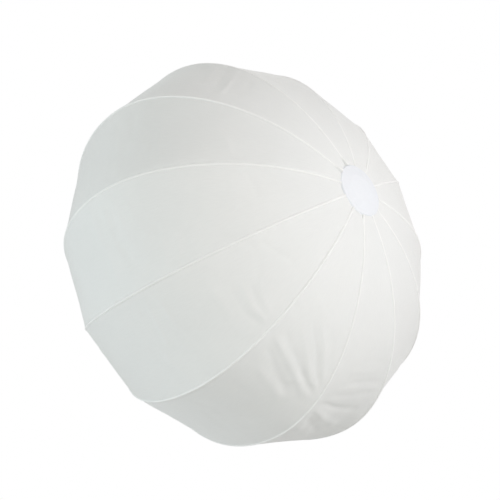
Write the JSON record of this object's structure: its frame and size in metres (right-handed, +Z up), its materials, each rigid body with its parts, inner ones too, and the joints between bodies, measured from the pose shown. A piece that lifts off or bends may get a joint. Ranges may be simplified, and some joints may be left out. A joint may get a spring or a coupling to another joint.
{
  "type": "lantern diffuser",
  "caption": "White fabric globe diffuser on folding meridian ribs, hinged on a bayonet speed ring, for hanging on a studio lamp.",
  "frame": {"origin": "centre of the lamp bore, in the plane where the ring meets its bayonet insert", "axes": "+Y along the lantern axis towards the lamp, so the front pole looks along -Y; +Z up; +X to the right seen from the front"},
  "size_m": [0.6432, 0.5554, 0.6432],
  "materials": {
    "ring_black": "satin black anodised cast aluminium",
    "insert_metal": "plain machined aluminium, satin",
    "fastener_steel": "bright zinc",
    "rib_steel": "drawn spring wire",
    "cover_fabric": "white woven polyester diffusion cloth",
    "patch_fabric": "doubled bright white cloth",
    "hem_elastic": "white knitted elastic",
    "collar_plastic": "fine moulded texture, black",
    "knob_plastic": "soft-touch black",
    "hub_plastic": "white moulded"
  },
  "bodies": {
    "ring": {"speed_ring": "ring_black", "bayonet_insert": "insert_metal", "insert_screws": "fastener_steel", "hinge_pins": "fastener_steel", "hem_band": "hem_elastic"},
    "collar": {"fold_collar": "collar_plastic"},
    "knob": {"lock_knob": "knob_plastic"},
    "hub": {"front_hub": "hub_plastic", "hub_pins": "fastener_steel", "hub_cap": "hub_plastic", "hub_screws": "fastener_steel", "front_patch": "patch_fabric"},
    "rear_01": {"rear_rib_01": "rib_steel", "rear_cover_01": "cover_fabric"},
    "front_01": {"front_rib_01": "rib_steel", "front_cover_01": "cover_fabric"},
    "rear_02": {"rear_rib_02": "rib_steel", "rear_cover_02": "cover_fabric"},
    "front_02": {"front_rib_02": "rib_steel", "front_cover_02": "cover_fabric"},
    "rear_03": {"rear_rib_03": "rib_steel", "rear_cover_03": "cover_fabric"},
    "front_03": {"front_rib_03": "rib_steel", "front_cover_03": "cover_fabric"},
    "rear_04": {"rear_rib_04": "rib_steel", "rear_cover_04": "cover_fabric"},
    "front_04": {"front_rib_04": "rib_steel", "front_cover_04": "cover_fabric"},
    "rear_05": {"rear_rib_05": "rib_steel", "rear_cover_05": "cover_fabric"},
    "front_05": {"front_rib_05": "rib_steel", "front_cover_05": "cover_fabric"},
    "rear_06": {"rear_rib_06": "rib_steel", "rear_cover_06": "cover_fabric"},
    "front_06": {"front_rib_06": "rib_steel", "front_cover_06": "cover_fabric"},
    "rear_07": {"rear_rib_07": "rib_steel", "rear_cover_07": "cover_fabric"},
    "front_07": {"front_rib_07": "rib_steel", "front_cover_07": "cover_fabric"},
    "rear_08": {"rear_rib_08": "rib_steel", "rear_cover_08": "cover_fabric"},
    "front_08": {"front_rib_08": "rib_steel", "front_cover_08": "cover_fabric"},
    "rear_09": {"rear_rib_09": "rib_steel", "rear_cover_09": "cover_fabric"},
    "front_09": {"front_rib_09": "rib_steel", "front_cover_09": "cover_fabric"},
    "rear_10": {"rear_rib_10": "rib_steel", "rear_cover_10": "cover_fabric"},
    "front_10": {"front_rib_10": "rib_steel", "front_cover_10": "cover_fabric"},
    "rear_11": {"rear_rib_11": "rib_steel", "rear_cover_11": "cover_fabric"},
    "front_11": {"front_rib_11": "rib_steel", "front_cover_11": "cover_fabric"},
    "rear_12": {"rear_rib_12": "rib_steel", "rear_cover_12": "cover_fabric"},
    "front_12": {"front_rib_12": "rib_steel", "front_cover_12": "cover_fabric"}
  },
  "joints": [
    {"name": "rib_fold_01", "type": "hinge", "parent": "ring", "child": "rear_01", "pos_m": [0.07916, -0.05, 0.01155], "axis": [0.1444, 0, -0.9895], "range_deg": [0, 42.7], "deforming": ["rear_cover_01"]},
    {"name": "rib_fold_02", "type": "hinge", "parent": "ring", "child": "rear_02", "pos_m": [0.06278, -0.05, 0.04958], "axis": [0.6198, 0, -0.7848], "range_deg": [-0.5, 43.2], "deforming": ["rear_cover_02"]},
    {"name": "rib_fold_03", "type": "hinge", "parent": "ring", "child": "rear_03", "pos_m": [0.02958, -0.05, 0.07433], "axis": [0.9291, 0, -0.3697], "range_deg": [-0.5, 43.2], "deforming": ["rear_cover_03"]},
    {"name": "rib_fold_04", "type": "hinge", "parent": "ring", "child": "rear_04", "pos_m": [-0.01155, -0.05, 0.07916], "axis": [0.9895, 0, 0.1444], "range_deg": [-0.5, 43.2], "deforming": ["rear_cover_04"]},
    {"name": "rib_fold_05", "type": "hinge", "parent": "ring", "child": "rear_05", "pos_m": [-0.04958, -0.05, 0.06278], "axis": [0.7848, 0, 0.6198], "range_deg": [-0.5, 43.2], "deforming": ["rear_cover_05"]},
    {"name": "rib_fold_06", "type": "hinge", "parent": "ring", "child": "rear_06", "pos_m": [-0.07433, -0.05, 0.02958], "axis": [0.3697, 0, 0.9291], "range_deg": [-0.5, 43.2], "deforming": ["rear_cover_06"]},
    {"name": "rib_fold_07", "type": "hinge", "parent": "ring", "child": "rear_07", "pos_m": [-0.07916, -0.05, -0.01155], "axis": [-0.1444, 0, 0.9895], "range_deg": [-0.5, 43.2], "deforming": ["rear_cover_07"]},
    {"name": "rib_fold_08", "type": "hinge", "parent": "ring", "child": "rear_08", "pos_m": [-0.06278, -0.05, -0.04958], "axis": [-0.6198, 0, 0.7848], "range_deg": [-0.5, 43.2], "deforming": ["rear_cover_08"]},
    {"name": "rib_fold_09", "type": "hinge", "parent": "ring", "child": "rear_09", "pos_m": [-0.02958, -0.05, -0.07433], "axis": [-0.9291, 0, 0.3697], "range_deg": [-0.5, 43.2], "deforming": ["rear_cover_09"]},
    {"name": "rib_fold_10", "type": "hinge", "parent": "ring", "child": "rear_10", "pos_m": [0.01155, -0.05, -0.07916], "axis": [-0.9895, 0, -0.1444], "range_deg": [-0.5, 43.2], "deforming": ["rear_cover_10"]},
    {"name": "rib_fold_11", "type": "hinge", "parent": "ring", "child": "rear_11", "pos_m": [0.04958, -0.05, -0.06278], "axis": [-0.7848, 0, -0.6198], "range_deg": [-0.5, 43.2], "deforming": ["rear_cover_11"]},
    {"name": "rib_fold_12", "type": "hinge", "parent": "ring", "child": "rear_12", "pos_m": [0.07433, -0.05, -0.02958], "axis": [-0.3697, 0, -0.9291], "range_deg": [-0.5, 43.2], "deforming": ["rear_cover_12"]},
    {"name": "knuckle_01", "type": "hinge", "parent": "rear_01", "child": "front_01", "pos_m": [0.31339, -0.27686, 0.04572], "axis": [0.1444, 0, -0.9895], "range_deg": [-80.74, 0.6], "deforming": ["front_cover_01"]},
    {"name": "knuckle_02", "type": "hinge", "parent": "rear_02", "child": "front_02", "pos_m": [0.24854, -0.27686, 0.19629], "axis": [0.6198, 0, -0.7848], "range_deg": [-80.74, 0.6], "deforming": ["front_cover_02"]},
    {"name": "knuckle_03", "type": "hinge", "parent": "rear_03", "child": "front_03", "pos_m": [0.1171, -0.27686, 0.29426], "axis": [0.9291, 0, -0.3697], "range_deg": [-80.74, 0.6], "deforming": ["front_cover_03"]},
    {"name": "knuckle_04", "type": "hinge", "parent": "rear_04", "child": "front_04", "pos_m": [-0.04572, -0.27686, 0.31339], "axis": [0.9895, 0, 0.1444], "range_deg": [-80.74, 0.6], "deforming": ["front_cover_04"]},
    {"name": "knuckle_05", "type": "hinge", "parent": "rear_05", "child": "front_05", "pos_m": [-0.19629, -0.27686, 0.24854], "axis": [0.7848, 0, 0.6198], "range_deg": [-80.74, 0.6], "deforming": ["front_cover_05"]},
    {"name": "knuckle_06", "type": "hinge", "parent": "rear_06", "child": "front_06", "pos_m": [-0.29426, -0.27686, 0.1171], "axis": [0.3697, 0, 0.9291], "range_deg": [-80.74, 0.6], "deforming": ["front_cover_06"]},
    {"name": "knuckle_07", "type": "hinge", "parent": "rear_07", "child": "front_07", "pos_m": [-0.31339, -0.27686, -0.04572], "axis": [-0.1444, 0, 0.9895], "range_deg": [-80.74, 0.6], "deforming": ["front_cover_07"]},
    {"name": "knuckle_08", "type": "hinge", "parent": "rear_08", "child": "front_08", "pos_m": [-0.24854, -0.27686, -0.19629], "axis": [-0.6198, 0, 0.7848], "range_deg": [-80.74, 0.6], "deforming": ["front_cover_08"]},
    {"name": "knuckle_09", "type": "hinge", "parent": "rear_09", "child": "front_09", "pos_m": [-0.1171, -0.27686, -0.29426], "axis": [-0.9291, 0, 0.3697], "range_deg": [-80.74, 0.6], "deforming": ["front_cover_09"]},
    {"name": "knuckle_10", "type": "hinge", "parent": "rear_10", "child": "front_10", "pos_m": [0.04572, -0.27686, -0.31339], "axis": [-0.9895, 0, -0.1444], "range_deg": [-80.74, 0.6], "deforming": ["front_cover_10"]},
    {"name": "knuckle_11", "type": "hinge", "parent": "rear_11", "child": "front_11", "pos_m": [0.19629, -0.27686, -0.24854], "axis": [-0.7848, 0, -0.6198], "range_deg": [-80.74, 0.6], "deforming": ["front_cover_11"]},
    {"name": "knuckle_12", "type": "hinge", "parent": "rear_12", "child": "front_12", "pos_m": [0.29426, -0.27686, -0.1171], "axis": [-0.3697, 0, -0.9291], "range_deg": [-80.74, 0.6], "deforming": ["front_cover_12"]},
    {"name": "hub_pivot", "type": "hinge", "parent": "front_01", "child": "hub", "pos_m": [0.0376, -0.53871, 0.00549], "axis": [0.1444, 0, -0.9895], "range_deg": [-0.6, 38.04]},
    {"name": "collar_slide", "type": "slide", "parent": "ring", "child": "collar", "axis": [0, 1, 0], "range_m": [-0.0003, 0.01323]},
    {"name": "knob_turn", "type": "hinge", "parent": "collar", "child": "knob", "pos_m": [-0.007, -0.034, -0.05959], "axis": [-0.1167, 0, -0.9932], "range_deg": [0, 360]}
  ],
  "couplings": [
    {"joint": "rib_fold_02", "follows": "rib_fold_01", "ratio": 1},
    {"joint": "rib_fold_03", "follows": "rib_fold_01", "ratio": 1},
    {"joint": "rib_fold_04", "follows": "rib_fold_01", "ratio": 1},
    {"joint": "rib_fold_05", "follows": "rib_fold_01", "ratio": 1},
    {"joint": "rib_fold_06", "follows": "rib_fold_01", "ratio": 1},
    {"joint": "rib_fold_07", "follows": "rib_fold_01", "ratio": 1},
    {"joint": "rib_fold_08", "follows": "rib_fold_01", "ratio": 1},
    {"joint": "rib_fold_09", "follows": "rib_fold_01", "ratio": 1},
    {"joint": "rib_fold_10", "follows": "rib_fold_01", "ratio": 1},
    {"joint": "rib_fold_11", "follows": "rib_fold_01", "ratio": 1},
    {"joint": "rib_fold_12", "follows": "rib_fold_01", "ratio": 1},
    {"joint": "knuckle_01", "follows": "rib_fold_01", "ratio": -1.8768},
    {"joint": "knuckle_02", "follows": "rib_fold_01", "ratio": -1.8768},
    {"joint": "knuckle_03", "follows": "rib_fold_01", "ratio": -1.8768},
    {"joint": "knuckle_04", "follows": "rib_fold_01", "ratio": -1.8768},
    {"joint": "knuckle_05", "follows": "rib_fold_01", "ratio": -1.8768},
    {"joint": "knuckle_06", "follows": "rib_fold_01", "ratio": -1.8768},
    {"joint": "knuckle_07", "follows": "rib_fold_01", "ratio": -1.8768},
    {"joint": "knuckle_08", "follows": "rib_fold_01", "ratio": -1.8768},
    {"joint": "knuckle_09", "follows": "rib_fold_01", "ratio": -1.8768},
    {"joint": "knuckle_10", "follows": "rib_fold_01", "ratio": -1.8768},
    {"joint": "knuckle_11", "follows": "rib_fold_01", "ratio": -1.8768},
    {"joint": "knuckle_12", "follows": "rib_fold_01", "ratio": -1.8768},
    {"joint": "hub_pivot", "follows": "rib_fold_01", "ratio": 0.8768},
    {"joint": "collar_slide", "follows": "rib_fold_01", "m_per_rad": 0.017353}
  ]
}
